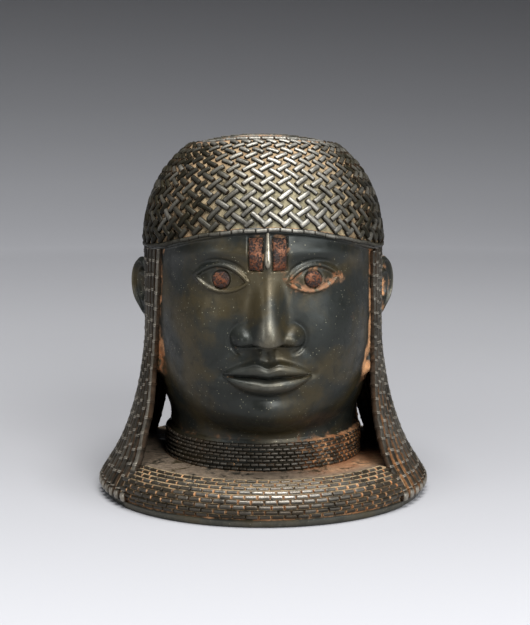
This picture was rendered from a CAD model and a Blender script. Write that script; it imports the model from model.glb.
import math

import bpy
import numpy as np
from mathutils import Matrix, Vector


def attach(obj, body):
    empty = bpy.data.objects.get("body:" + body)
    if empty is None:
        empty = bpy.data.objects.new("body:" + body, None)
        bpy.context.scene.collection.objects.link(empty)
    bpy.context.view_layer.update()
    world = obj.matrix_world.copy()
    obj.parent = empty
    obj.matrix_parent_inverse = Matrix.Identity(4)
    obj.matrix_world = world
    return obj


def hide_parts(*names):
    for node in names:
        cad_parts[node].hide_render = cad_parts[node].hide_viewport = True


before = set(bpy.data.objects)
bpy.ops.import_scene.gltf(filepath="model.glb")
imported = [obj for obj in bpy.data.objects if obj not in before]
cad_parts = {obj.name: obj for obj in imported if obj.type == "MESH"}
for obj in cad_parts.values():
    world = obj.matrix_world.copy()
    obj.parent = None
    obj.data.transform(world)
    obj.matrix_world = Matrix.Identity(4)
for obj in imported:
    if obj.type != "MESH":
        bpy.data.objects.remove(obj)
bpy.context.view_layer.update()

# Sizes in millimetres, as in the CAD. The CAD's origin lies 3.35 mm behind the head's own axis.
MM = 0.001
SHIFT = np.array([0.0, -3.35, 0.0])
TOP = 235.0
SHOULDER = 24.5
WALL = 3.0
CROWN_RADIUS, CROWN_DIP, CROWN_LEVEL = 35.0, 3.6, 14.0
CAP_HALF, CAP_LONGER, CAP_SPRING, CAP_POWER = 76.5, 0.17, 160.0, 2.35
EDGE_FRONT, EDGE_SIDE = 178.0, 163.0
NECK = 61.0
COLLAR, COLLAR_ROWS, COLLAR_BEAD = 65.5, 7, 2.6
FOOT, FOOT_BEAD, FOOT_BACK = 110.0, 3.6, 1.055
LIP_HEIGHT, LIP_RADIUS = 4.5, 107.5
STRAND_EDGE, STRANDS, STRAND_RADIUS, FLARE_HEIGHT = 58.0, 27, 79.1, 120.0
STRAND_FOOT = 2.5
SHEET = 3.6
EYE_X, EYE_Z, EYE_HALF, EYE_UP, EYE_DOWN, EYE_SLANT = 28.5, 149.0, 15.0, 7.6, 6.4, 1.2
NOSE_BASE, MOUTH_Z, MOUTH_HALF = 108.0, 89.3, 27.0
IRIS = 5.2
STRIP_X, STRIP_TOP, STRIP_HALF, STRIP_HEIGHT = 7.3, 175.0, 4.25, 20.0
LEVEL = np.array([1.0, 1.0, 0.0])  # times a vector, it leaves the level part
NO_BOUND, FAR_OUT = 60.0, 500.0  # more than a bound there matters by, and a radius outside everything
rng = np.random.default_rng(7)
scene = bpy.context.scene
rad = math.radians


def bell(x):
    return np.exp(-np.square(x))


def held(x):
    """x, kept between 0 and 1"""
    return np.clip(x, 0, 1)


def ramp(x, low, high):
    t = held((x - low) / (high - low))
    return t * t * (3 - 2 * t)


def mix(a, b, t):
    return a + (b - a) * t


def mound(x, z, at_x, at_z, half_x, half_z):
    """A smooth hill of height 1 round a place"""
    return bell((x - at_x) / half_x) * bell((z - at_z) / half_z)


def unit(v):
    return v / np.linalg.norm(v, axis=-1, keepdims=True)


def run_along(path):
    """Length along a path from its start to each of its points"""
    return np.r_[0, np.cumsum(np.linalg.norm(np.diff(path, axis=0), axis=1))]


def keyed(keys, at):
    """Smooth curve through (place, value) pairs, level beyond both ends"""
    x, y = np.array(keys, float).T
    at = np.clip(at, x[0], x[-1])
    far_x, far_y = np.pad(x, 1, "edge"), np.pad(y, 1, "edge")
    slope = (far_y[2:] - far_y[:-2]) / (far_x[2:] - far_x[:-2])
    i = np.clip(np.searchsorted(x, at, side="right") - 1, 0, len(x) - 2)
    h = x[i + 1] - x[i]
    t = (at - x[i]) / h
    bend = (1 + 2 * t) * (1 - t) ** 2 * y[i] + t * t * (3 - 2 * t) * y[i + 1]
    return bend + h * t * (1 - t) ** 2 * slope[i] - h * t * t * (1 - t) * slope[i + 1]


# A turn, so that no layer of cells lies level, and numbers that scatter the cells' values
ASKEW = np.array([[0.36, 0.48, -0.8], [-0.8, 0.6, 0.0], [0.48, 0.64, 0.6]])
SCATTER, SCATTER_SEED, SCATTER_LAST = np.array([73856093, 19349663, 83492791]), 2654435, 1274126177
SEED_STEP = 7.31


def noise(points, size, seed):
    """Smooth noise between -1 and 1 whose cells are size across"""
    p = np.asarray(points, float) @ ASKEW / size + seed * SEED_STEP
    cell = np.floor(p).astype(np.int64)
    f = p - cell
    f = f * f * (3 - 2 * f)
    total = np.zeros(p.shape[:-1])
    for corner in np.ndindex(2, 2, 2):
        h = np.bitwise_xor.reduce((cell + corner) * SCATTER, axis=-1) ^ (seed * SCATTER_SEED)
        h = (h ^ (h >> 13)) * SCATTER_LAST
        value = ((h ^ (h >> 16)) & 0xFFFF) / 32767.5 - 1
        total += np.prod(np.where(corner, f, 1 - f), axis=-1) * value
    return total


def oval(angle, half, front, back, power=2.0):
    """Distance from the axis to an oval outline; angles run from the front towards +X"""
    across = np.abs(np.sin(angle)) / half
    along = np.abs(np.cos(angle)) / np.where(np.cos(angle) > 0, front, back)
    return (across ** power + along ** power) ** (-1 / power)


def place(angle, radius, z):
    angle, radius, z = np.broadcast_arrays(angle, radius, z)
    return np.stack([radius * np.sin(angle), -radius * np.cos(angle), z], -1)


def from_front(angle):
    """Angle from the front, from 0 to pi on both sides"""
    return np.abs(np.arctan2(np.sin(angle), np.cos(angle)))


# Head: its sizes, and (share of the way up, share of the size) pairs for each
HEAD_HALF, HEAD_FRONT, HEAD_BACK, HEAD_LOW, HEAD_SPAN = 72.5, 87.5, 83.0, 52.0, 112.0
HEAD_GUESS = 87.0  # about its radius in front
FRONT_SHARES = [(-0.07, 0.46), (-0.02, 0.71), (0.03, 0.85), (0.08, 0.93), (0.14, 0.96), (0.4, 0.98), (0.8, 1),
                (1, 0.985), (1.13, 0.955), (1.2, 0.9)]
SIDE_SHARES = [(-0.07, 0.54), (-0.02, 0.7), (0.04, 0.8), (0.11, 0.88), (0.2, 0.94), (0.32, 0.98), (1, 1)]
BACK_SHARES = [(-0.07, 0.48), (-0.02, 0.72), (0.25, 0.84), (0.5, 0.96), (1, 1)]


def skull(angle, z):
    up = (z - HEAD_LOW) / HEAD_SPAN
    power = mix(1.75, 2.1, ramp(up, 0, 0.5))
    plain = oval(angle, HEAD_HALF * keyed(SIDE_SHARES, up), HEAD_FRONT * keyed(FRONT_SHARES, up),
                 HEAD_BACK * keyed(BACK_SHARES, up), power)
    return (plain + NECK + np.hypot(plain - NECK, 5)) / 2


def eye_distance(x, z):
    """Distance outside the eye's opening, below 0 inside it, and where across and up the eye that is"""
    s = (np.abs(x) - EYE_X) / EYE_HALF
    q = z - EYE_Z - EYE_SLANT * s
    lids = [(way * q - reach * held(1 - s * s)) / np.hypot(1, 2 * reach * np.clip(s, -1, 1) / EYE_HALF)
            for way, reach in ((1, EYE_UP), (-1, EYE_DOWN))]
    beyond = np.clip(np.abs(s) - 1, 0, None) * EYE_HALF
    return np.where(beyond > 0, np.hypot(beyond, q), np.maximum(*lids)), s, q


# (height, size) pairs of the nose, and (share of its height, how far it stands out) pairs of each lip
NOSE_HEIGHTS = [(105, 0), (108.5, 4), (110.5, 14), (113, 17.6), (117, 18.2), (123, 16.6), (132, 12.4),
                (142, 8.2), (150, 5.4), (158, 3.8), (168, 2.4), (180, 0.8)]
NOSE_HALVES = [(105, 11), (113, 10.5), (118, 10), (130, 9.2), (145, 8.6), (153, 9.6), (165, 14), (180, 19)]
UPPER_LIP = [(0, -1.8), (0.1, 2.0), (0.3, 4.6), (0.58, 5.1), (0.82, 4.4), (0.96, 4.2), (1.08, 2.0),
             (1.3, 0.4), (1.6, 0)]
LOWER_LIP = [(0, -1.8), (0.1, 2.5), (0.3, 5.6), (0.55, 6.3), (0.8, 5.2), (0.95, 4.0), (1.08, 1.9),
             (1.3, 0.3), (1.6, 0)]


def features(x, z):
    """How far the face stands off the plain outline, and how far it drops below its own height"""
    side = np.abs(x)
    ridge = keyed(NOSE_HEIGHTS, z) * np.exp(-0.95 * (side / keyed(NOSE_HALVES, z)) ** 2.3)
    wing = 10.2 * np.exp(-np.abs((side - 12.8) / 7.4) ** 2.3 - np.abs((z - 113.4) / 6.6) ** 2.2)
    nose = (ridge + wing + np.hypot(ridge - wing, 4.6)) / 2 - 2.3
    nose = np.maximum(nose, 0) * ramp(z, NOSE_BASE - 0.8, NOSE_BASE + 2.4)
    nostril = 6.5 * mound(side, z, 7.6, 109.6, 3.5, 1.5)
    wing_groove = 1.3 * bell((np.hypot(side - 14, (z - 113.5) * 0.95) - 9.2) / 1.4) * ramp(side, 13, 19)
    fold = 0.9 * bell((side - mix(21, 32, ramp(z, 112, 92))) / 3.5)
    fold = fold * ramp(z, 88, 96) * (1 - ramp(z, 110, 118))

    socket = -4.4 * mound(side, z, EYE_X - 1, EYE_Z + 1, 17, 11.5)
    ball = 5.2 * mound(side, z, EYE_X, EYE_Z, 13, 7.6)
    d, s, q = eye_distance(x, z)
    rim = np.where(q > 0, 2.5, 2.1)
    lid = np.where(q > 0, 1.55, 1.25) * np.sqrt(np.sin(np.pi * held(d / rim)))
    lid *= 1 - 0.6 * ramp(np.abs(s), 0.95, 1.12)
    within = -0.9 * ramp(-d, 0, 0.9)
    crease = -0.8 * bell((d - 4.3) / 1.0) * ramp(q, 1, 3.5) * (1 - ramp(np.abs(s), 0.8, 1.25))
    brow_line = 165.5 - 3.2 * ((side - 30) / 24) ** 2
    brow = 2.4 * mound(side, z, 30, brow_line, 22, 4.6)
    cheek = 3.2 * mound(side, z, 37, 117, 19, 19)
    temple = -1.6 * mound(side, z, 62, 152, 12, 16)

    muzzle = 4.0 * mound(x, z, 0, MOUTH_Z, 30, 19)
    t = side / MOUTH_HALF
    line = MOUTH_Z + 0.9 * t * t - 0.7 * bell(x / 4.5)
    full = np.sqrt(held(1 - t ** 2.2))
    upper = 9.0 * held(1 - t * t) ** 0.8 - 1.5 * bell(x / 3.4) + 0.5 * bell((side - 7) / 4)
    lower = 9.6 * held(1 - t ** 2.3) ** 0.85
    up_lip = keyed(UPPER_LIP, (z - line) / np.maximum(upper, 1.4))
    low_lip = keyed(LOWER_LIP, (line - z) / np.maximum(lower, 1.4))
    lips = full * np.where(z > line, up_lip, low_lip)
    corner = -1.6 * mound(side, z, MOUTH_HALF + 0.5, line, 3, 2.6)
    philtrum = 0.35 * bell((side - 4.6) / 1.6) - 0.9 * bell(x / 2.6)
    philtrum = philtrum * ramp(z, 97, 100) * (1 - ramp(z, 105, 108))
    chin = 4.2 * mound(x, z, 0, 65, 18, 10.5)
    chin_groove = -2.0 * mound(x, z, 0, 76, 19, 4.6)
    out = (nose - nostril * ramp(nose, 0.5, 5) - wing_groove - fold * 0.7 + socket + ball + lid + within
           + crease + brow + cheek + temple + muzzle + lips + corner + philtrum + chin + chin_groove)
    drop = -2.4 * held(nose / 18) * bell((z - 110.5) / 4.5)
    return out, drop


def pockets(x, z):
    """How deep the face is cut for the iron let into it"""
    side = np.abs(x)
    beside = np.abs(side - STRIP_X) - STRIP_HALF
    beyond = np.abs(z - STRIP_TOP + STRIP_HEIGHT / 2) - STRIP_HEIGHT / 2
    strips = (1 - ramp(beside, 0.2, 0.9)) * (1 - ramp(beyond, 0.2, 0.9))
    return 1.5 * strips + 1.2 * (1 - ramp(np.hypot(side - EYE_X, z - EYE_Z), IRIS + 0.1, IRIS + 0.9))


def face(angle, z, cut=True):
    """Points of the head's skin"""
    base = skull(angle, z)
    x = base * np.sin(angle)
    shown = 1 - ramp(from_front(angle), rad(STRAND_EDGE - 8), rad(STRAND_EDGE + 6))
    out, drop = features(x, z)
    if cut:
        out = out - pockets(x, z)
    return place(angle, base + shown * out, z + shown * drop)


# Cap
DOME_TOP = TOP - 2.5
CROWN_SHARE = (1 - ((CROWN_RADIUS + 4) / CAP_HALF) ** CAP_POWER) ** (1 / CAP_POWER)
DOME_CLOSE = CAP_SPRING + (DOME_TOP - CAP_SPRING) / CROWN_SHARE  # where it would close, if not cut off
DOME_STEPS = 80


def up_dome(z):
    """Share of the way from the cap's edge to where the dome would close"""
    return held((z - CAP_SPRING) / (DOME_CLOSE - CAP_SPRING))


def cap(angle, z):
    up = up_dome(z)
    half = CAP_HALF * (1 - up ** CAP_POWER) ** (1 / CAP_POWER)
    length = half * (1 + CAP_LONGER * (1 - up))
    return oval(angle, half, length, length * 1.02)


def cap_edge(angle):
    turned = held(from_front(angle) / rad(75)) * math.pi / 2
    return mix(EDGE_SIDE, EDGE_FRONT, np.cos(turned) ** 2)


def crown_drop(angle):
    """How much lower the crown's rim is than in front"""
    level = math.sin(rad(CROWN_LEVEL)) ** 2
    return CROWN_DIP * np.maximum(0, (np.sin(angle) ** 2 - level) / (1 - level))


def dome_height(angle, share):
    """Height at a share of the way from the cap's edge to its top, measured along the dome"""
    angle = np.asarray(angle, float)
    start = cap_edge(angle) + 3.5
    rise = DOME_TOP - crown_drop(angle) - start
    grid = start[..., None] + rise[..., None] * np.sin(np.linspace(0, math.pi / 2, DOME_STEPS))
    r = cap(angle[..., None], grid)
    run = np.cumsum(np.hypot(*(np.diff(line, axis=-1, prepend=line[..., :1]) for line in (r, grid))), -1)
    want = np.asarray(share)[..., None] * run[..., -1:] * np.ones_like(run[..., :1])
    i = np.clip((run < want).sum(-1) - 1, 0, DOME_STEPS - 2)[..., None]
    a, b = np.take_along_axis(run, i, -1), np.take_along_axis(run, i + 1, -1)
    below, above = np.take_along_axis(grid, i, -1), np.take_along_axis(grid, i + 1, -1)
    return (below + (above - below) * (want - a) / np.maximum(b - a, 1e-9))[..., 0]


# Foot and curtain of strands; the lean of each row of the foot inwards, from the lip up
ROLL_TILTS = [-30, -11, 5, 20, 41, 56, 64, 67, 70]
FOOT_ROWS = len(ROLL_TILTS)
roll_out = np.cumsum(np.append(0, -np.sin(np.radians(ROLL_TILTS)) * FOOT_BEAD))
roll_up = np.cumsum(np.append(LIP_HEIGHT, np.cos(np.radians(ROLL_TILTS)) * FOOT_BEAD))
ROLL = np.stack([roll_out + FOOT - roll_out.max(), roll_up], 1)
# The curtain's (share of the height, of the way out), and the strands' first edge on each side in degrees
FLARE = [(0, 0.88), (0.03, 0.96), (0.066, 1), (0.11, 0.925), (0.2, 0.703), (0.3, 0.505), (0.43, 0.318),
         (0.57, 0.172), (0.7, 0.08), (0.84, 0.016), (1, 0)]
OPENINGS = {-1: [(0.06, 54.5), (0.18, 56), (0.28, 59), (0.37, 60), (0.5, 63.3), (0.61, 63.8), (0.75, 62),
                 (0.88, 60), (1, 58)],
            1: [(0.06, 52), (0.18, 51.8), (0.29, 53.8), (0.37, 55.5), (0.45, 58.1), (0.55, 62.2),
                (0.64, 63.8), (0.77, 63.3), (0.89, 62), (1, 61.3)]}


def foot(angle, r):
    return oval(angle, r, r, r * FOOT_BACK)


def curtain(angle, z):
    side = mix(STRAND_RADIUS, FOOT + 0.5, keyed(FLARE, z / FLARE_HEIGHT))
    return oval(angle, side, side, side * mix(FOOT_BACK, 1.11, ramp(z, 20, 110)))


def opening_edge(side, z):
    """Angle from the front to the strands' first edge"""
    return np.radians(keyed(OPENINGS[side], z / EDGE_SIDE))


def outward(points, quads):
    """The same faces, all pointing out of their bodies"""
    a, b, c, d = (points[quads[:, k]] for k in range(4))
    if np.sum(a * (np.cross(b, c) + np.cross(c, d))) >= 0:
        return quads
    turned = quads[:, ::-1].copy()
    triangles = turned[:, 0] == turned[:, 1]
    turned[triangles] = turned[triangles][:, [2, 3, 0, 1]]
    return turned


def around(count):
    """Angles of so many even steps right round"""
    return np.linspace(0, 2 * math.pi, count, endpoint=False)


def in_scene(name, data):
    made = bpy.data.objects.new(name, data)
    scene.collection.objects.link(made)
    return made


class Pile:
    """Bodies gathered into one piece, with their earth, their wear and how pale that earth is"""

    def __init__(self):
        self.points, self.quads, self.count = [], [], 0
        self.layers = {"earth": [], "wear": [], "dust": []}

    def add(self, points, quads, earth=0.0, wear=0.0, dust=0.0):
        points = points.reshape(-1, 3)
        self.points.append(points)
        self.quads.append(outward(points, quads.reshape(-1, 4)) + self.count)
        for key, values in (("earth", earth), ("wear", wear), ("dust", dust)):
            self.layers[key].append(np.zeros(len(points)) + np.asarray(values, float).reshape(-1))
        self.count += len(points)

    def piece(self, name, material, nodes=("head_casting",)):
        points, quads = np.concatenate(self.points), np.concatenate(self.quads)
        mesh = bpy.data.meshes.new(name)
        tri = quads[:, 2] == quads[:, 3]
        four, three = quads[~tri], quads[tri][:, :3]
        loops = np.r_[four.ravel(), three.ravel()]
        starts = np.r_[np.arange(len(four)) * 4, four.size + np.arange(len(three)) * 3]
        for part, key, values in ((mesh.vertices, "co", ((points + SHIFT) * MM).astype(np.float32)),
                                  (mesh.loops, "vertex_index", loops.astype(np.int32)),
                                  (mesh.polygons, "loop_start", starts.astype(np.int32))):
            part.add(len(values))
            part.foreach_set(key, values.ravel())
        mesh.update(calc_edges=True)
        mesh.validate()
        for key, values in self.layers.items():
            layer = mesh.attributes.new(key, "FLOAT", "POINT")
            layer.data.foreach_set("value", held(np.concatenate(values)).astype(np.float32))
        mesh.shade_smooth()
        mesh.materials.append(material)
        made = in_scene(name, mesh)
        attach(made, "root")
        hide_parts(*nodes)
        return mesh


def grid_quads(rows, columns, round_columns=True, round_rows=False):
    """Faces between rows and columns of points, which run right round or end"""
    j, i = np.indices((rows - (not round_rows), columns - (not round_columns)))
    j2, i2 = (j + 1) % rows, (i + 1) % columns
    corners = ((j, i), (j, i2), (j2, i2), (j2, i))
    return np.stack([row * columns + column for row, column in corners], -1).reshape(-1, 4)


def tube(rings, first, last):
    """Points and faces of a closed tube through rings of points, with a middle point at each end"""
    rows, columns = rings.shape[:2]
    i = np.arange(columns)
    k = (i + 1) % columns
    base, low = (rows - 1) * columns, rows * columns
    ends = [np.stack([p, q, 0 * i + middle, 0 * i + middle], -1)
            for p, q, middle in ((k, i, low), (base + i, base + k, low + 1))]
    points = np.r_[rings.reshape(-1, 3), [first, last]]
    return points, np.concatenate([grid_quads(rows, columns), *ends])


def bead_template(half, sides, flat):
    """A bead of length, width and height 1, flattened beneath. half holds (place from the middle to 0.5,
    thickness) pairs, which are mirrored."""
    turn = around(sides) + math.pi / 2
    across, up = np.cos(turn) * 0.5, np.sin(turn) * 0.5
    up = np.where(up < 0, up * flat, up)
    profile = [(-u, r) for u, r in half[::-1] if u > 0] + half
    rings = [np.stack([np.full(sides, u), across * r, up * r], -1) for u, r in profile]
    return tube(np.stack(rings), [-0.5, 0, 0], [0.5, 0, 0])


ROUND_BEAD = bead_template([(0, 1.0), (0.3, 1.0), (0.4, 1.03), (0.475, 0.93), (0.5, 0.7)], 10, 0.8)
COLLAR_BEAD_SHAPE = bead_template([(0.3, 1.0), (0.46, 0.94), (0.5, 0.68)], 8, 0.8)
NET_BAR = bead_template([(0, 1.0), (0.2, 0.98), (0.42, 1.0), (0.48, 0.88), (0.5, 0.6)], 10, 0.6)


def lay(pile, template, centre, along, out, size, earth, wear, bow=0.0):
    """Puts a copy of a bead at each centre. along and out are its directions, size its three sizes."""
    points, quads = template
    along = unit(along - out * np.sum(along * out, -1, keepdims=True))
    across = np.cross(out, along)
    local = points[None] * size[:, None, :]
    local[..., 2] += bow * size[:, None, 2] * (1 - (2 * points[None, :, 0]) ** 2)
    world = centre[:, None] + local @ np.stack([along, across, out], 1)
    faces = quads[None] + (np.arange(len(centre)) * len(points))[:, None, None]
    height = points[:, 2] / points[:, 2].max()
    ends = ramp(np.abs(points[:, 0]), 0.42, 0.5)
    low = np.maximum(1 - ramp(height, -0.3, 0.5), ends * 0.9)
    soil = held(np.asarray(earth)[:, None] * (0.25 + low[None]))
    pile.add(world, faces, soil, np.asarray(wear)[:, None] * ramp(height, 0.45, 1.0)[None])


class Surface:
    """A material whose colours and bumps are mixed from nodes"""

    def __init__(self, name):
        self.material = bpy.data.materials.new(name)
        self.material.use_nodes = True
        self.tree = self.material.node_tree
        self.inputs = self.tree.nodes["Principled BSDF"].inputs

    def fill(self, sockets, values):
        """Sets sockets to numbers or colours, or links them to other nodes"""
        for key, value in values.items():
            socket = sockets[key]
            if isinstance(value, bpy.types.NodeSocket):
                self.tree.links.new(value, socket)
            else:
                socket.default_value = (*value, 1.0) if socket.type == "RGBA" else value

    def node(self, kind, result, values=None, **settings):
        made = self.tree.nodes.new("ShaderNode" + kind)
        for key, value in settings.items():
            setattr(made, key, value)
        self.fill(made.inputs, values or {})
        return made.outputs[result]


DUST = (0.2, 0.175, 0.11)
SPECK = (0.24, 0.23, 0.16)


def grey(level):
    return (level, level, level)


def patina(name, dark, warm, worn, soil, gloss, pits, tint=0.5, specks=0.0, powder=DUST, metal=0.5,
           specular=0.42):
    """Dark patina over cast brass: worn metal where it is rubbed, earth where it lies low"""
    made = Surface(name)
    where = made.node("TexCoord", "Object")

    def cloud(scale, detail, rough=0.55, warp=0.0):
        return made.node("TexNoise", "Fac", {"Scale": scale, "Detail": detail, "Roughness": rough,
                                             "Distortion": warp, "Vector": where})

    def cells(scale):
        return made.node("TexVoronoi", "Distance", {"Scale": scale, "Vector": where})

    def band(value, low, high, to_low=0.0, to_high=1.0):
        values = {"Value": value, "From Min": low, "From Max": high, "To Min": to_low, "To Max": to_high}
        return made.node("MapRange", "Result", values, interpolation_type="SMOOTHSTEP")

    def reckon(kind, a, b):
        return made.node("Math", "Value", {0: a, 1: b}, operation=kind, use_clamp=True)

    def blend(fac, a, b):
        return made.node("Mix", "Result", {"Factor": fac, "A": a, "B": b}, data_type="RGBA")

    broad = cloud(28, 5, 0.6, 0.4)
    middle = cloud(130, 5, 0.6, 0.6)
    fine = cloud(900, 3, 0.6)
    earth, wear, dust = (made.node("Attribute", "Fac", attribute_name=key)
                         for key in ("earth", "wear", "dust"))
    colour = blend(band(broad, 0.42, 0.66, 0, tint), dark, warm)
    colour = blend(band(middle, 0.5, 0.78, 0, 0.55), colour, tuple(0.55 * c for c in dark))
    shine = reckon("MULTIPLY", wear, band(middle, 0.3, 0.62, 0.45, 1.0))
    shine = reckon("MULTIPLY", shine, band(fine, 0.25, 0.55, 0.6, 1.0))
    colour = blend(shine, colour, worn)
    mottle = reckon("MULTIPLY", earth, band(middle, 0.34, 0.6, 0.35, 1.15))
    grain = band(cloud(520, 4, 0.7), 0.3, 0.68, 0.7, 1.2)
    dirt = band(reckon("MULTIPLY", mottle, grain), 0.16, 0.6)
    pale = blend(band(cloud(210, 3), 0.42, 0.62), soil, tuple(min(1.0, 1.6 * c + 0.003) for c in soil))
    deep = blend(band(broad, 0.45, 0.6), pale, (soil[0] * 0.8, soil[1] * 0.58, soil[2] * 0.4))
    dusty = blend(band(cloud(340, 3), 0.35, 0.65), powder, tuple(0.6 * c for c in powder))
    colour = blend(dirt, colour, blend(dust, deep, dusty))
    if specks:
        few = reckon("MULTIPLY", band(cells(430), 0.1, 0.16, specks, 0.0), band(cloud(75, 2), 0.42, 0.56))
        colour = blend(few, colour, SPECK)
    metallic = blend(dirt, blend(shine, grey(metal), grey(0.95)), grey(0.0))
    satin = blend(band(middle, 0.3, 0.7), grey(gloss - 0.06), grey(gloss + 0.12))
    satin = blend(dirt, blend(shine, satin, grey(0.27)), grey(0.92))
    rough = reckon("ADD", reckon("MULTIPLY", fine, 0.35), reckon("MULTIPLY", middle, 0.5))
    rough = reckon("ADD", rough, reckon("MULTIPLY", dirt, 0.25))
    sunk = reckon("MULTIPLY", band(cells(420), 0.08, 0.2, 0.35, 0.0), band(broad, 0.5, 0.62))
    relief = {"Strength": pits, "Distance": 0.0004, "Height": reckon("SUBTRACT", rough, sunk)}
    made.fill(made.inputs, {"Base Color": colour, "Metallic": metallic, "Roughness": satin,
                            "Specular IOR Level": specular, "Normal": made.node("Bump", "Normal", relief)})
    return made.material


# Each with its dark and warm tones, worn metal, soil, roughness and depth of pits
SKIN = patina("face_patina", (0.019, 0.021, 0.018), (0.056, 0.041, 0.016), (0.24, 0.22, 0.17),
              (0.27, 0.135, 0.06), 0.38, 0.4, 0.75, 0.8, (0.115, 0.088, 0.06))
GROUND = patina("earthed_ground", (0.02, 0.019, 0.014), (0.046, 0.036, 0.018), (0.36, 0.33, 0.27),
                (0.3, 0.15, 0.07), 0.42, 0.4, 0.7, specular=0.12)
NET = patina("net_bronze", (0.009, 0.008, 0.005), (0.024, 0.02, 0.01), (0.6, 0.57, 0.5),
             (0.018, 0.014, 0.009), 0.42, 0.45, metal=0.3, specular=0.1)
STRAND = patina("strand_bronze", (0.011, 0.009, 0.006), (0.028, 0.02, 0.011), (0.5, 0.45, 0.37),
                (0.012, 0.009, 0.006), 0.36, 0.4, powder=(0.34, 0.16, 0.065), metal=0.35, specular=0.12)
ROLLS = patina("bead_bronze", (0.026, 0.021, 0.014), (0.055, 0.038, 0.022), (0.4, 0.38, 0.34),
               (0.36, 0.2, 0.095), 0.4, 0.5, specular=0.35)
PENDANT = patina("pendant_bronze", (0.03, 0.025, 0.017), (0.06, 0.04, 0.024), (0.4, 0.36, 0.28),
                 (0.2, 0.1, 0.045), 0.3, 0.3)
RUST = patina("rusted_iron", (0.013, 0.01, 0.009), (0.028, 0.015, 0.011), (0.045, 0.03, 0.026),
              (0.1, 0.042, 0.022), 0.8, 1.0, 1.0, metal=0.1, specular=0.25)


# Shell of the head: one closed skin outside and inside, and how closely its rows lie at each height
SKIN_LOW, SKIN_TOP, SKIN_ROWS = 44.0, EDGE_FRONT - 2, 196
SKIN_DENSITY = [(SKIN_LOW, 1.0), (52, 1.2), (78, 1.3), (81, 2.2), (100, 2.2), (104, 2.4), (113, 2.4),
                (118, 1.3), (138, 1.3), (142, 2.2), (158, 2.2), (162, 1.4), (SKIN_TOP, 1.2)]


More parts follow.
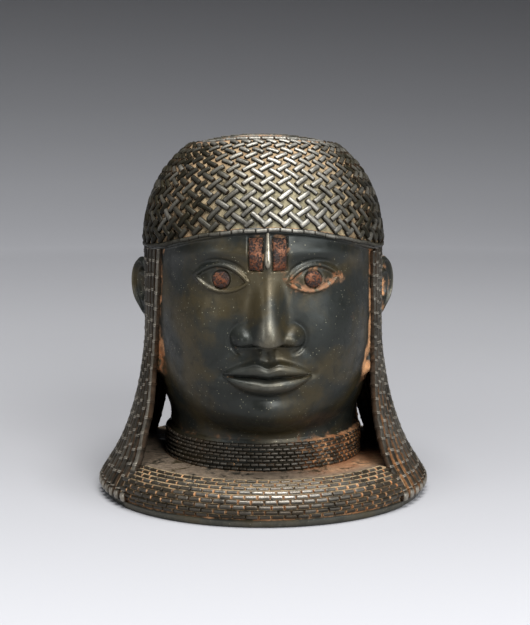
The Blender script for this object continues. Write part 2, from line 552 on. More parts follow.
def shell():
    half = np.r_[np.linspace(0, 31, 80, endpoint=False), np.linspace(31, 64, 44, endpoint=False),
                 np.linspace(64, 180, 34)]
    a = np.radians(np.r_[half, -half[-2:0:-1]])
    drop, facing = crown_drop(a), np.cos(a) > 0
    rows, layers = [], ([], [], [])

    def opening(z):
        return np.where(np.sin(a) < 0, opening_edge(-1, z), opening_edge(1, z))

    def behind(z):
        """0 in front of the strands' first edge, 1 behind it"""
        return ramp(from_front(a) - opening(z), -rad(1), rad(3))

    def within(z):
        """Distance from the axis to just inside the strands"""
        return curtain(a, z) - SHEET * 0.8

    def row(points, soil, rubbed=0.0, pale=0.0):
        rows.append(points)
        for layer, value in zip(layers, (soil, rubbed, pale)):
            layer.append(np.broadcast_to(value, a.shape))

    def ring(r, z, soil, rubbed=0.0, pale=0.0):
        row(place(a, r, z), soil, rubbed, pale)

    for out, below, soil, rubbed in ((0, 1.9, 0.3, 0.1), (0.5, 1.1, 0.2, 0.2), (1.4, 0.8, 0.2, 0.2),
                                     (2.3, 1.3, 0.4, 0.1)):
        ring(CROWN_RADIUS + out, TOP - drop - below, soil, rubbed)
    grounds = [len(rows)]
    for share in np.linspace(1, 0, 30):
        z = dome_height(a, share)
        p = place(a, cap(a, z), z)
        front = (1 - ramp(np.abs(p[:, 0] - 6), 22, 62)) * facing
        soil = held(0.54 + 0.26 * front + 0.16 * noise(p, 12, 14))
        pale = mix(0.7 + 0.3 * front, 0.72, ramp(share, 0.3, 0.8))
        ring(cap(a, z) + 0.8 * (1 - ramp(share, 0.9, 1)), z, soil, 0.0, pale)
    grounds.append(len(rows))
    edge = cap_edge(a)
    rise = cap(a, edge)
    for out, up, soil, pale in ((0.9, 3.0, 0.3, 0.4), (1.2, 1.6, 0.1, 0), (1.2, 0.4, 0.05, 0),
                                (0.7, -0.5, 0.05, 0)):
        ring(rise + out, edge + up, soil, 0.0, pale)
    lip = np.minimum(np.linalg.norm(face(a, edge - 1.0)[:, :2], axis=1) + 0.3, rise + 0.6)
    ring(lip, edge - 1.0, 0.1)
    heights = np.linspace(SKIN_LOW, SKIN_TOP, 2000)
    weight = np.cumsum(np.interp(heights, *np.array(SKIN_DENSITY, float).T))
    for level in np.interp(np.linspace(weight[0], weight[-1], SKIN_ROWS), weight, heights)[::-1]:
        share = (level - SKIN_LOW) / (SKIN_TOP - SKIN_LOW)
        z = mix(level, SKIN_LOW + (edge - 1.2 - SKIN_LOW) * share, ramp(level, 90, 174))
        p = face(a, z)
        r = np.linalg.norm(p[:, :2], axis=1)
        r = mix(r, np.maximum(curtain(a, z) - 2.9, r), behind(z) * ramp(z, 79, 87))
        spots = place(a, r, p[:, 2])
        x = spots[:, 0]
        side = from_front(a)
        polish = 0.5 * ramp(features(x, z)[0], 9, 17) + 0.35 * mound(x, z, 0, MOUTH_Z - 5, 18, 3)
        polish += 0.12 * mound(x, z, 0, MOUTH_Z + 5, 18, 3)
        spots[:, :2] *= (1 + 0.0016 * noise(spots, 16, 5) + 0.0008 * noise(spots, 5, 6))[:, None]
        row(spots, face_soil(spots, z, edge, side - opening(z)), polish * (side < rad(50)),
            0.6 * mound(x, z, EYE_X, EYE_Z - 3, 16, 12))
    rightward = ramp(np.sin(a), 0.1, 0.8) * facing
    for k in range(2 * COLLAR_ROWS, -1, -1):
        z = SHOULDER + COLLAR_BEAD * k / 2
        ring(COLLAR - (2.4 if k % 2 else 1.5), z, 0.12 + 0.75 * rightward, 0.0, 0.2 * rightward)
    top_r = ROLL[-1][0]
    reach = mix(foot(a, top_r - 1.2), within(SHOULDER), behind(SHOULDER))
    for share in np.linspace(0.06, 0.98, 13):
        r = mix(COLLAR - 1.5, reach, share)
        p = place(a, r, SHOULDER)
        pit = mound(p[:, 0], p[:, 1], -72, -36, 2.6, 2.6)
        z = SHOULDER - 0.5 * math.sin(share * math.pi) + 0.35 * noise(p, 18, 11)
        soil = 0.8 + 0.2 * rightward * (1 - share) + 0.1 * noise(p, 22, 13) - 0.8 * pit
        pale = 0.95 - 0.65 * rightward * (1 - ramp(share, 0.3, 0.9))
        ring(r, z + 0.12 * noise(p, 6, 12) - 2.6 * pit, held(soil), 0.0, held(pale))
    grounds.append(len(rows) - 1)
    for k in range(FOOT_ROWS, 0, -1):
        (r0, z0), (r1, z1) = ROLL[k], ROLL[k - 1]
        tilt = rad(ROLL_TILTS[k - 1])
        for f, sunk, pale in ((0.0, 0.75, 0.85), (0.13, 1.9, 0.6), (0.87, 1.9, 0.6)):
            r = mix(r0, r1, f) - math.cos(tilt) * sunk
            z = mix(z0, z1, f) - math.sin(tilt) * sunk
            back_z = mix(STRAND_FOOT, SHOULDER, (k - f) / FOOT_ROWS)
            far = np.minimum(within(back_z), foot(a, LIP_RADIUS) + NO_BOUND * (back_z > 6))
            rubbed = 0.5 * (f == 0) * mound(k, np.sin(a) * r, 4.5, 8, 2.6, 45) * facing
            ring(mix(foot(a, r), far, behind(z)), mix(z, back_z, behind(z)), 0.8 - rubbed, rubbed, pale)
    grounds.append(len(rows))
    lip = np.minimum(foot(a, LIP_RADIUS), mix(FAR_OUT, within(LIP_HEIGHT) - 0.3, behind(LIP_HEIGHT)))
    for out, z, soil, rubbed in ((0.2, LIP_HEIGHT - 0.2, 0.15, 0), (0, LIP_HEIGHT - 1.4, 0.05, 0.3),
                                 (0, 1.0, 0.05, 0.2), (-0.8, 0.0, 0.05, 0.05), (-3.0, 0.0, 0.2, 0)):
        ring(lip + out, z, soil, rubbed)
    # the inside, from the foot up to the crown
    under = SHOULDER - WALL
    inside = ramp(from_front(a), rad(STRAND_EDGE), rad(STRAND_EDGE + 20))
    for z, r in ((1.5, LIP_RADIUS), (LIP_HEIGHT, LIP_RADIUS + 1), (under * 0.5, LIP_RADIUS + 0.8),
                 (under * 0.75, LIP_RADIUS), (under, top_r)):
        ring(np.minimum(foot(a, r), curtain(a, z + 2) - 1) - WALL - 0.6, z, 0.2)
    ring(NECK - WALL, under, 0.2)
    for z in (30, 40, 48, 58, 70, 85, 98, 112, 130, 150, 165, 178):
        plain = skull(a, z) - WALL - 0.3
        full = np.maximum(curtain(a, z) - 1.2 - WALL, plain)
        wide = mix(plain, full, inside * ramp(z, 85, 98))
        ring(np.minimum(wide, cap(a, z) - WALL if z > 60 else NECK + 30), z, 0.2)
    for share in (0.4, 0.6, 0.78, 0.9):
        z = mix(CAP_SPRING, DOME_TOP - drop - WALL, share)
        ring(np.maximum(cap(a, z + WALL) - WALL, CROWN_RADIUS), z, 0.18)
    ring(CROWN_RADIUS, DOME_TOP - drop - WALL * 0.6, 0.2)
    pile = Pile()
    quads = grid_quads(len(rows), len(a), round_rows=True)
    pile.add(np.stack(rows), quads, *(np.concatenate(layer) for layer in layers))
    mesh = pile.piece("head_shell", SKIN)
    mesh.materials.append(GROUND)
    row_of = np.arange(len(quads)) // len(a)
    earthed = np.searchsorted(grounds, row_of, side="right") % 2
    mesh.polygons.foreach_set("material_index", earthed.astype(np.int32))


def face_soil(spots, z, edge, from_edge):
    """Earth on the head's skin; from_edge is the angle from the strands' edge, below 0 in front of it"""
    x = spots[:, 0]
    right = ramp(x, 2, 14)
    line = ramp(from_edge, -rad(3.0), -rad(0.8)) * mix(0.45, 0.9, right * (1 - ramp(z, 128, 152)))
    line *= 1 - 0.75 * ramp(from_edge, rad(2), rad(7))
    patch = ramp(from_edge, -rad(8.5), -rad(3)) * bell((z - mix(97, 88, right)) / 13)
    crevice = np.maximum(line * ramp(z, 92, 104), patch) * (0.75 + 0.5 * noise(spots, 7, 3))
    under_cap = 0.15 * bell((edge - 1.2 - z) / 1.7) * (0.7 + 0.6 * noise(spots, 9, 4))
    d, _, q = eye_distance(x, z)
    eye = (0.2 + 0.5 * right) * (0.7 * bell(d / 2.2) + 0.45 * right * bell((d - 3) / 5.5) * (q < 3))
    white = 0.25 * (d < -0.3) * (0.5 + 0.7 * right)
    nose = 0.3 * mound(np.abs(x), z, 16, 108, 6, 3.5)
    lips = 0.3 * bell((z - MOUTH_Z) / 0.9) * (np.abs(x) < 25)
    strips = 0.6 * mound(np.abs(x), z, STRIP_X, 165, 6.5, 14)
    neck = 0.3 * (1 - ramp(z, 44, 56))
    stain = 0.22 * right * mound(x, z, 56, 112, 9, 26)
    mottled = 0.72 + 0.45 * noise(spots, 5, 15) + 0.4 * noise(spots, 1.7, 19)
    return held(crevice + under_cap + (eye + white + nose + lips + strips + neck + stain) * mottled)


# Netted beads of the cap: bars that lean both ways, each ending against the side of the next
NET_COLUMNS, NET_ROWS, NET_CLOSEST, NET_STEP = 46, 7, 5.6, 0.06
NET_LONG, NET_WIDE, NET_HIGH = (7.0, 11.8), (3.9, 3.3), (3.2, 1.7)  # least and most; low and near the crown
base_angles = np.radians(np.linspace(-180, 180, 1441))
base_run = run_along(place(base_angles, cap(base_angles, 172.0), 0.0))


def net_angle(column, up):
    """Angle of a column of the net, which spreads in front and behind towards the crown"""
    share = (column / NET_COLUMNS + 0.5) % 1.0
    a = np.interp(share * base_run[-1], base_run, base_angles)
    return a + 0.27 * up ** 2 * np.sin(2 * a)


def net_point(column, row):
    share = row / (NET_ROWS - 0.12)
    guess = net_angle(column, 0.6)
    for _ in range(3):
        z = dome_height(guess, share)
        guess = net_angle(column, up_dome(z))
    return place(guess, cap(guess, z), z)


def varied(value, spread, points):
    return held(value + rng.normal(0, spread, len(points)))


def cap_beads():
    pile = Pile()
    for half, lean in ((0.0, 1.0), (0.5, -1.0)):
        c, r = (g.ravel() for g in np.meshgrid(np.arange(NET_COLUMNS) + half, np.arange(NET_ROWS) + half))
        p = net_point(c, r)
        u = net_point(c + NET_STEP, r) - net_point(c - NET_STEP, r)
        v = net_point(c, r + NET_STEP) - net_point(c, r - NET_STEP)
        wide = np.linalg.norm(u, axis=1) / (2 * NET_STEP)
        crowded = wide <= NET_CLOSEST
        keep = ~crowded | (np.floor(c).astype(int) % 2 == 0)
        wide = np.where(crowded, 2 * wide, wide)
        p, u, v, wide, r = (values[keep] for values in (p, unit(u), unit(v), wide, r))
        n = np.cross(u, v)
        n = np.where((np.sum(n * p, 1) < 0)[:, None], -n, n)
        up = up_dome(p[:, 2])
        slope = np.radians(mix(40, 31, ramp(up, 0.3, 0.95)) + 3 * noise(p, 21, 16))
        along = u * np.cos(slope)[:, None] + lean * v * np.sin(slope)[:, None]
        stub = r == 0
        length = np.clip(0.8 * wide / np.cos(slope), *NET_LONG) * np.where(stub, 0.62, 1.0)
        count = len(p)
        p = p + v * np.where(stub, 2.2, 0.0)[:, None]
        along = along + np.cross(n, along) * rng.normal(0, 0.05, count)[:, None]
        for way, seed in ((u, 17), (v, 18)):
            p = p + way * (rng.normal(0, 0.16, count) + 0.5 * noise(p, 17, seed))[:, None]
        high = mix(*NET_HIGH, up) * rng.normal(1, 0.05, count)
        length = length * rng.normal(1, 0.035, count)
        size = np.stack([length, mix(*NET_WIDE, up) * rng.normal(1, 0.06, count), 2 * high * 0.62], 1)
        front = bell((p[:, 0] - 10) / 30) * (p[:, 1] < 0)
        wear, earth = varied(0.02 + 0.52 * front, 0.06, p), varied(0.75, 0.12, p)
        lay(pile, NET_BAR, p + n * (high * 0.36)[:, None], along, n, size, earth, wear, bow=0.12)
    pile.piece("cap_net", NET)


def bead_row(pile, path, count, offset, width, height, out_of, earth, wear, gap=0.3, template=ROUND_BEAD):
    """Beads end to end along path(t), for t from 0 to 1; out_of(t) is the way out there"""
    t = (np.arange(count) + offset) / count
    step = 0.15 / count
    centre = path(t)
    length = np.linalg.norm(path(t + 0.5 / count) - path(t - 0.5 / count), axis=1) - gap
    jitter = rng.normal(1, 0.03, (count, 2))
    size = np.stack([length, width * jitter[:, 0], height * jitter[:, 1]], 1)
    lay(pile, template, centre, path(t + step) - path(t - step), unit(out_of(t)), size, earth(centre),
        wear(centre))


def steady(value):
    return lambda p: np.full(len(p), value)


def cap_border():
    pile = Pile()

    def edge_path(t):
        a = 2 * math.pi * t
        z = cap_edge(a) + 1.5 + 0.25 * np.sin(9 * a) + 0.2 * np.sin(23 * a)
        return place(a, cap(a, z) + 1.5, z)

    def rim_path(t):
        a = 2 * math.pi * t
        return place(a, CROWN_RADIUS + 3.5, TOP - 2.05 - crown_drop(a))

    bead_row(pile, edge_path, 74, 0.5, 2.7, 3.1, lambda t: edge_path(t) * LEVEL + (0, 0, 10), steady(0.5),
             lambda p: 0.04 + 0.36 * bell((p[:, 0] - 10) / 36))
    bead_row(pile, rim_path, 30, 0.2, 3.1, 3.2, lambda t: rim_path(t) * LEVEL + (0, 0, 60), steady(0.4),
             steady(0.4))
    pile.piece("cap_border", NET)


# Rows of beads on the foot and round the neck
FOOT_COLUMNS = 26  # beads in each row, from strand to strand
FOOT_INSET = 1.9  # how far their middles lie inside the roll's outline
COLLAR_COLUMNS = 80


def foot_beads():
    pile = Pile()
    for k in range(FOOT_ROWS):
        (r0, z0), (r1, z1) = ROLL[k], ROLL[k + 1]
        tilt = rad(ROLL_TILTS[k])
        r, z = (r0 + r1) / 2 - FOOT_INSET * math.cos(tilt), (z0 + z1) / 2 - FOOT_INSET * math.sin(tilt)
        left, right = -opening_edge(-1, z) - rad(1.5), opening_edge(1, z) + rad(1.5)

        def path(t):
            a = mix(left, right, t)
            return place(a, foot(a, r), z + 0.12 * np.sin(17 * a + 2 * k))

        bead_row(pile, path, FOOT_COLUMNS, 0.5 * (k % 2), FOOT_BEAD * 0.82, FOOT_BEAD * 0.9,
                 lambda t: place(mix(left, right, t), math.cos(tilt), math.sin(tilt)),
                 lambda p: varied(0.4 + 0.25 * ramp(p[:, 0], 10, 80) * (1 - k / FOOT_ROWS), 0.1, p),
                 lambda p: varied(0.04 + 0.5 * mound(k, p[:, 0], 4.2, 8, 1.9, 36), 0.05, p), 0.6)
    pile.piece("foot_beads", ROLLS)


def collar_beads():
    pile = Pile()
    for k in range(COLLAR_ROWS):
        z = SHOULDER + COLLAR_BEAD * (k + 0.5)
        radius = COLLAR - 1.25 + 0.25 * math.sin(k * 2.1)

        def path(t):
            a = 2 * math.pi * t
            return place(a, radius, z + 0.3 * np.sin(a * 2 + k) + 0.12 * np.sin(13 * a + 3 * k))

        bead_row(pile, path, COLLAR_COLUMNS, 0.5 * (k % 2), COLLAR_BEAD * 0.84, COLLAR_BEAD,
                 lambda t: path(t) * LEVEL, lambda p: varied(0.15 + 0.5 * ramp(p[:, 0], 5, 45), 0.1, p),
                 lambda p: varied(0.1, 0.06, p), 0.5, COLLAR_BEAD_SHAPE)
    pile.piece("collar_beads", ROLLS)


# Strands of beads that hang from the cap, in two hangings a side with a slit between them near the shoulder
FRONT_STRANDS = 17  # of a side's strands, those in front of the slit
# A slit's front in degrees, low and high, its width and the height it reaches, on each side
SLITS = {-1: (132.2, 128.6, 13.0, 87.0), 1: (131.6, 131.0, 4.6, 45.0)}
BEAD_LENGTH = {-1: 9.9, 1: 8.6}
STRAND_HIGH, TIP_LENGTH = 2.6, 8.6
# (share of the length, thickness) pairs of the bead at a strand's foot and of the others
TIP = np.array([(0.0, 0.35), (0.06, 0.8), (0.2, 1.14), (0.45, 1.26), (0.7, 1.16), (0.88, 1.0), (0.97, 0.8)])
RINGED = np.array([(0.0, 0.72), (0.03, 1.08), (0.06, 1.08), (0.1, 0.93), (0.3, 0.92), (0.5, 0.95),
                   (0.7, 0.92), (0.9, 0.93), (0.94, 1.08), (0.97, 1.08)])


def strand_panels(side):
    """Both edges of a side's two hangings of strands, as angles at a height, with their counts"""
    slit, slit_high, width, top = SLITS[side]

    def first(z):
        return opening_edge(side, z) + rad(0.4)

    def slit_front(z):
        even = mix(first(z), math.pi, FRONT_STRANDS / STRANDS)
        lean = held((z - SHOULDER) / (top - SHOULDER))
        return mix(mix(rad(slit), rad(slit_high), lean), even, ramp(z, top, top + 50))

    def slit_back(z):
        above = held((top - z) / (top - SHOULDER))
        share = np.where(z > SHOULDER, above, 0.35 + 0.65 * ramp(z, 4, SHOULDER))
        return slit_front(z) + share * width / curtain(rad(slit), z)

    return [(first, slit_front, FRONT_STRANDS), (slit_back, lambda z: math.pi, STRANDS - FRONT_STRANDS)]


def strands(side, name):
    pile = Pile()
    level = np.r_[np.linspace(STRAND_FOOT, 60, 34, endpoint=False), np.linspace(60, 175, 30)][:, None]
    for low_edge, high_edge, count in strand_panels(side):
        in_front = count == FRONT_STRANDS
        columns = np.linspace(0.5 / count, 1 - 0.5 / count * in_front, count * 3 + 1)
        a = mix(low_edge(level), high_edge(level), columns)
        z = np.minimum(level, cap_edge(a) + 1.0)
        outer, inner = (place(side * a, curtain(a, z) - depth, z) for depth in (3.2, SHEET + 0.5))
        inner[..., :2] *= (1 + 0.006 * noise(inner, 4, 22))[..., None]
        sheet = np.concatenate([outer, inner[:, ::-1]], 1)
        rows, cols = sheet.shape[:2]
        i = np.arange(len(columns) - 1)
        bottom = np.stack([i + 1, i, cols - 1 - i, cols - 2 - i], -1)
        quads = np.r_[grid_quads(rows, cols), bottom, bottom[:, [1, 0, 3, 2]] + (rows - 1) * cols]
        beyond = np.abs(np.arctan2(sheet[..., 0], -sheet[..., 1])) - low_edge(level)
        near = (beyond > rad(2)) & (beyond < rad(8))
        orange = near * (side > 0) * (1 - ramp(sheet[..., 2], 50, 70)) + 0.12 * noise(sheet, 14, 21)
        pile.add(sheet, quads, 1.0, 0.0, held(orange))
        for k in range(count):
            strand(pile, side, low_edge, high_edge, (k + 0.5) / count, count, in_front and k == 0)
    pile.piece(name, STRAND)


def strand(pile, side, low_edge, high_edge, share, abreast, first):
    """One string of beads, with a ring at each bead's end and a bigger bead to finish"""
    z = np.linspace(STRAND_FOOT + 0.7, 178, 700)
    a = mix(low_edge(z), high_edge(z), share)
    run = run_along(place(a, curtain(a, z), z))
    end = run[np.argmax(z > cap_edge(a[-1]) + 1.5)]
    bead = rng.normal(BEAD_LENGTH[side], 0.2)
    count = int((end - 9.0) // bead) + 1
    lengths = bead * rng.normal(1, 0.1, count)[:, None]
    starts = np.cumsum(np.append(TIP_LENGTH, lengths))[:-1, None]
    uneven = 1 + 0.02 * np.sin(np.arange(count) * 1.7)[:, None]
    places = np.append(TIP[:, 0] * TIP_LENGTH, starts + RINGED[:, 0] * lengths)
    sizes = np.append(TIP[:, 1], RINGED[:, 1] * uneven)
    lows = np.append(TIP[:, 0] > 0.9, np.tile(RINGED[:, 0] == 0, count))
    places, sizes, lows = (values[places < end] for values in (places, sizes, lows))
    z, a = np.interp(places, run, z), np.interp(places, run, a)
    p = place(side * a, curtain(a, z), z)
    t = unit(np.gradient(p, places, axis=0))
    after, before = (place(side * (a + step), curtain(a + step, z), z) for step in (1e-3, -1e-3))
    n = unit(np.cross(after - before, t) * side)
    b = np.cross(t, n)
    pitch = (high_edge(z) - low_edge(z)) / abreast * curtain(a, z)
    half = np.minimum(0.375 * pitch, 3.0) * (1.08 if first else 1.0)
    turn = np.radians([-28, 2, 28, 54, 78, 102, 126, 152, 178, 208])
    beneath = np.sin(turn) < -0.2
    depth = np.where(beneath, -0.7, np.sin(turn))
    c = np.where(beneath, np.sign(np.cos(turn)) * 0.75, np.cos(turn))
    s = sizes[:, None, None]
    sunk = STRAND_HIGH * np.maximum(sizes, 1.08)[:, None]
    ring = (p - n * sunk)[:, None] + b[:, None] * (c[None, :, None] * half[:, None, None] * s)
    ring = ring + n[:, None] * (depth[None, :, None] * STRAND_HIGH * s)
    earth = held(0.95 * (1 - ramp(depth, 0.3, 0.92)) + 0.35 * lows[:, None])
    near = (not first) * (1 - 0.8 * ramp(share, 0.1, 0.3))
    orange = 0.05 + 0.35 * near * ramp(p[:, 0], 60, 90) * (1 - ramp(z, 50, 80))
    orange = orange[:, None] * (1 + noise(ring, 9, 32))
    bright = 0.08 + 0.66 * ramp(sizes, 1.0, 1.08)[:, None] + (0.2 if first and side < 0 else 0.0)
    wear = ramp(depth, 0.45, 1.0) * (bright + 0.12 * noise(ring, 18, 31))
    pile.add(*tube(ring, ring[0].mean(0), ring[-1].mean(0)), np.append(earth, [0.3, 0.3]),
             np.append(wear, [0, 0]), np.append(orange, [0, 0]))


# Ears: leaves joined at their front edge, which stand out behind
EAR_HALF_HEIGHT, EAR_HALF_LENGTH, EAR_HALF_THICKNESS = 19.7, 11.0, 3.5
EAR_REACH, EAR_MIDDLE, EAR_TURN, EAR_TILT, EAR_ANGLE = 85.8, 134.8, 32.0, 8.0, 92.0


def turned(x, y, degrees):
    c, s = math.cos(rad(degrees)), math.sin(rad(degrees))
    return x * c - y * s, x * s + y * c


def ear(side, name):
    """A thin cupped leaf with a rolled rim, a deep hollow, a fold round it and a lobe"""
    turn = around(64)
    up = np.sin(turn)
    radial = np.sin(np.linspace(0, 1, 40) * math.pi / 2)[:, None]
    narrow = 1 - 0.36 * np.maximum(-up, 0) ** 1.4 + 0.08 * np.maximum(up, 0)
    y = EAR_HALF_LENGTH * radial * np.cos(turn) * narrow
    z = EAR_HALF_HEIGHT * radial * np.sign(up) * np.abs(up) ** 0.92
    thin = np.sqrt(held(1 - radial ** 4))
    curl = 1.6 * (y / EAR_HALF_LENGTH) ** 2 * (y > 0)
    rim = 2.1 * bell((radial - 0.87) / 0.09) * (0.5 + 0.5 * ramp(up, -0.85, -0.3))
    groove = 1.5 * bell((radial - 0.68) / 0.1) * ramp(up, -0.5, 0)
    hollow = 2.6 * bell(np.hypot((y - 0.5) / 4.6, (z + 1.5) / 7.5))
    fold = 1.5 * bell((np.hypot(y / 0.6, z / 1.1) - 8.5) / 1.9) * ramp(np.cos(turn), -0.9, 0.1)
    face_x = 1.3 * thin + rim + curl + (fold - groove - hollow) * thin
    front = np.stack([face_x, y, z], -1)
    back = np.stack([np.minimum(curl - 2.4 * thin, face_x - thin), y, z], -1)[::-1]
    points, quads = tube(np.r_[front[1:], back[1:-1]], front[0, 0], back[-1, 0])
    depth = points[:, 0].copy()
    x, y, z = points.T
    y, z = turned(y, z, -EAR_TILT)
    x, y = turned(x, y, -EAR_TURN)
    across = math.hypot(EAR_HALF_THICKNESS * math.cos(rad(EAR_TURN)),
                        EAR_HALF_LENGTH * math.sin(rad(EAR_TURN)))
    x, y = turned(x + EAR_REACH - across, y, EAR_ANGLE - 90)
    points = np.stack([x * side, y, z + EAR_MIDDLE], -1)
    earth = (0.5 - 0.16 * depth + 0.2 * noise(points, 6, 41)) * (0.9 if side > 0 else 0.35)
    pile = Pile()
    pile.add(points, quads, held(earth), ramp(depth, 2.6, 4.2) * 0.3)
    pile.piece(name, SKIN)


# Brow pendant and iron inlays
PENDANT_HIGH, PENDANT_HALF, PENDANT_ROWS = 24.0, 2.45, 40
PENDANT_WIDTHS = [(0, 0.02), (0.05, 0.5), (0.14, 0.88), (0.26, 0.98), (0.45, 0.84), (0.75, 0.6), (0.97, 0.54),
                  (1, 0.3)]


def pendant():
    up = np.linspace(0, 1, PENDANT_ROWS)[:, None]
    width = keyed(PENDANT_WIDTHS, up) * PENDANT_HALF
    z = EDGE_FRONT + 2 - PENDANT_HIGH + PENDANT_HIGH * up
    y = face(0.0, z, cut=False)[..., 1]
    y = mix(y, np.interp(z, [154, 180], [y[0, 0], y[-1, 0]]), 0.5)
    turn = around(16)
    front = np.sin(turn) + 0 * up
    ring = np.stack([width * np.cos(turn), y - 0.4 - width * 1.15 * front, z + 0 * front], -1)
    earth = 0.5 * (1 - ramp(front, -0.4, 0.3))
    wear = ramp(front, 0.2, 0.9) * (0.25 + 0.5 * bell((up - 0.3) / 0.35))
    pile = Pile()
    pile.add(*tube(ring, ring[0].mean(0), ring[-1].mean(0)), np.append(earth, [0, 0]),
             np.append(wear, [0, 0]))
    pile.piece("brow_pendant", PENDANT)


def inlay(name, node, at_x, at_z, half_x, half_z, is_round, rows, cols, lift, thick):
    """A rectangular or round plate let into the face, raised a little in the middle"""
    u, v = np.meshgrid(np.linspace(-1, 1, cols), np.linspace(-1, 1, rows))
    x = at_x + half_x * u * np.sqrt(1 - is_round * v * v / 2)
    z = at_z + half_z * v * np.sqrt(1 - is_round * u * u / 2)
    angle = np.arcsin(x / HEAD_GUESS)
    for _ in range(4):
        angle = np.arcsin(np.clip(x / skull(angle, z), -1, 1))
    skin = face(angle, z, cut=False)
    ways = (face(angle + turn, z + rise, cut=False) - face(angle - turn, z - rise, cut=False)
            for turn, rise in ((1e-3, 0), (0, 0.05)))
    out = unit(np.cross(*(unit(way) for way in ways)))
    edge = np.maximum(np.abs(u), np.abs(v))
    worn = 0.35 * noise(skin, 2.2, 51) + 0.25 * noise(skin, 0.9, 52) + 0.2 * noise(skin, 0.5, 54)
    top = skin + out * (lift + worn * 0.8 - 0.5 * ramp(edge, 0.8, 1.0))[..., None]
    bottom = skin - out * thick
    n = rows * cols
    index = np.arange(n).reshape(rows, cols)
    loop = np.r_[index[0], index[1:, -1], index[-1, -2::-1], index[-2:0:-1, 0]]
    after = np.roll(loop, -1)
    rim = np.stack([after, loop, loop + n, after + n], -1)
    faces = grid_quads(rows, cols, round_columns=False)
    places = np.r_[top.reshape(-1, 3), bottom.reshape(-1, 3)]
    soil = held(0.36 + 0.4 * noise(places, 3.0, 53) + 0.5 * noise(places, 0.8, 55))
    pile = Pile()
    pile.add(places, np.r_[faces, faces[:, ::-1] + n, rim], soil, 0.1)
    pile.piece(name, RUST, (node,))


shell()
cap_beads()
cap_border()
foot_beads()
collar_beads()
strands(-1, "strands_left")
strands(1, "strands_right")
ear(-1, "ear_left")
ear(1, "ear_right")
pendant()
for side, word in ((-1, "left"), (1, "right")):
    inlay(f"brow_iron_{word}", f"brow_strip_{word}", side * STRIP_X, STRIP_TOP - STRIP_HEIGHT / 2,
          STRIP_HALF - 0.25, STRIP_HEIGHT / 2 - 0.25, False, 80, 36, 0.1, 1.0)
    inlay(f"iris_iron_{word}", f"iris_{word}", side * EYE_X, EYE_Z, IRIS, IRIS, True, 40, 40, 0.35, 0.8)


# Studio: a pale floor that curves up all round, soft lights and the photograph's viewpoint
FLOOR_RADIUS, BOWL_CURVE, WALL_TOP = 1.5, 1.4, 4.2  # metres
PAPER_MIDDLE, PAPER_REACH = 0.14, 4.0  # metres behind the head, and as far as its greys go from there
PAPER = [(0.0, 0.26), (0.14, 0.272), (0.51, 0.36), (0.86, 0.47), (1.46, 0.68), (1.86, 0.51), (2.16, 0.34),
         (2.46, 0.19), (PAPER_REACH, 0.12)]  # its grey at each distance
PAPER_SHARE, PAPER_FALL = 0.955, -0.145  # the share of that grey in the middle, and its change a metre across


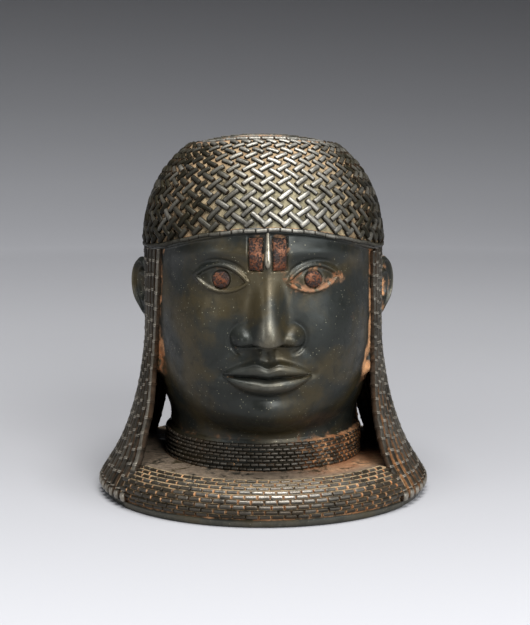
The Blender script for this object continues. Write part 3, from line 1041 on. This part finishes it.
def bowl():
    t = np.radians(90 * np.arange(1, 17) / 16)
    floor = (0, 0.15, 0.4, 0.8, 1.2, FLOOR_RADIUS)
    r = np.r_[floor, FLOOR_RADIUS + BOWL_CURVE * np.sin(t), FLOOR_RADIUS + BOWL_CURVE][:, None]
    z = np.r_[np.zeros(len(floor)), BOWL_CURVE * (1 - np.cos(t)), WALL_TOP][:, None]
    points = place(around(96), r, z)
    mesh = bpy.data.meshes.new("studio_bowl")
    mesh.from_pydata(points.reshape(-1, 3).tolist(), [], grid_quads(*points.shape[:2]).tolist())
    mesh.shade_smooth()
    paper = Surface("studio_paper")
    where = paper.node("TexCoord", "Object")
    away = paper.node("VectorMath", "Value", {0: where, 1: (0.0, PAPER_MIDDLE, 0.0)}, operation="DISTANCE")
    far = paper.node("MapRange", "Result", {"Value": away, "From Max": PAPER_REACH})
    tone = paper.node("ValToRGB", "Color", {"Fac": far})
    stops = tone.node.color_ramp.elements
    stops.remove(stops[1])
    for k, (metres, level) in enumerate(PAPER):
        stop = stops.new(metres / PAPER_REACH) if k else stops[0]
        stop.position, stop.color = metres / PAPER_REACH, (level, level, level * 1.04, 1)
    across = paper.node("SeparateXYZ", "X", {"Vector": where})
    fall = paper.node("Math", "Value", {0: across, 1: PAPER_FALL, 2: PAPER_SHARE}, operation="MULTIPLY_ADD")
    scaled = paper.node("VectorMath", "Vector", {0: tone, "Scale": fall}, operation="SCALE")
    paper.fill(paper.inputs, {"Roughness": 0.9, "Specular IOR Level": 0.1, "Base Color": scaled})
    mesh.materials.append(paper.material)
    in_scene("studio_bowl", mesh)


def softbox(name, at, to, size, power, colour=(1, 1, 1)):
    light = bpy.data.lights.new(name, "AREA")
    light.shape = "RECTANGLE"
    light.size, light.size_y = size
    light.energy = power
    light.color = colour
    made = in_scene(name, light)
    made.location = at
    made.rotation_euler = (Vector(to) - Vector(at)).to_track_quat("-Z", "Y").to_euler()
    made.visible_camera = False


bowl()
softbox("overhead", (0.05, -0.3, 1.3), (0, 0, 0.15), (0.8, 0.6), 34)
softbox("key", (0.42, -1.2, 0.95), (0, 0, 0.14), (0.55, 0.55), 20)
softbox("right", (1.1, -0.9, 0.45), (0, 0, 0.12), (0.7, 0.9), 9, (0.86, 0.93, 1))
softbox("fill", (-1.0, -0.75, 0.5), (0, 0, 0.13), (0.4, 0.8), 3.5, (0.93, 0.97, 1))
world = bpy.data.worlds.new("studio")
world.use_nodes = True
sky = world.node_tree.nodes["Background"].inputs
sky["Color"].default_value = (0.6, 0.63, 0.68, 1)
sky["Strength"].default_value = 0.35
scene.world = world
scene.view_settings.view_transform = "Standard"

# The head is turned a little to the viewer's right, so the camera stands as much to its left
VIEW_TURN, VIEW_PITCH, VIEW_SIDE, VIEW_HEIGHT = 1.9, 8.14, 0.0012, 0.26
turn_x, turn_y = math.sin(rad(VIEW_TURN)), math.cos(rad(VIEW_TURN))
camera = in_scene("camera", bpy.data.cameras.new("camera"))
camera.location = (VIEW_SIDE * turn_y - turn_x, SHIFT[1] * MM - turn_y - VIEW_SIDE * turn_x, VIEW_HEIGHT)
camera.rotation_euler = (rad(90 - VIEW_PITCH), 0, -rad(VIEW_TURN))
camera.data.lens = 87.3
camera.data.sensor_width = 36
scene.camera = camera
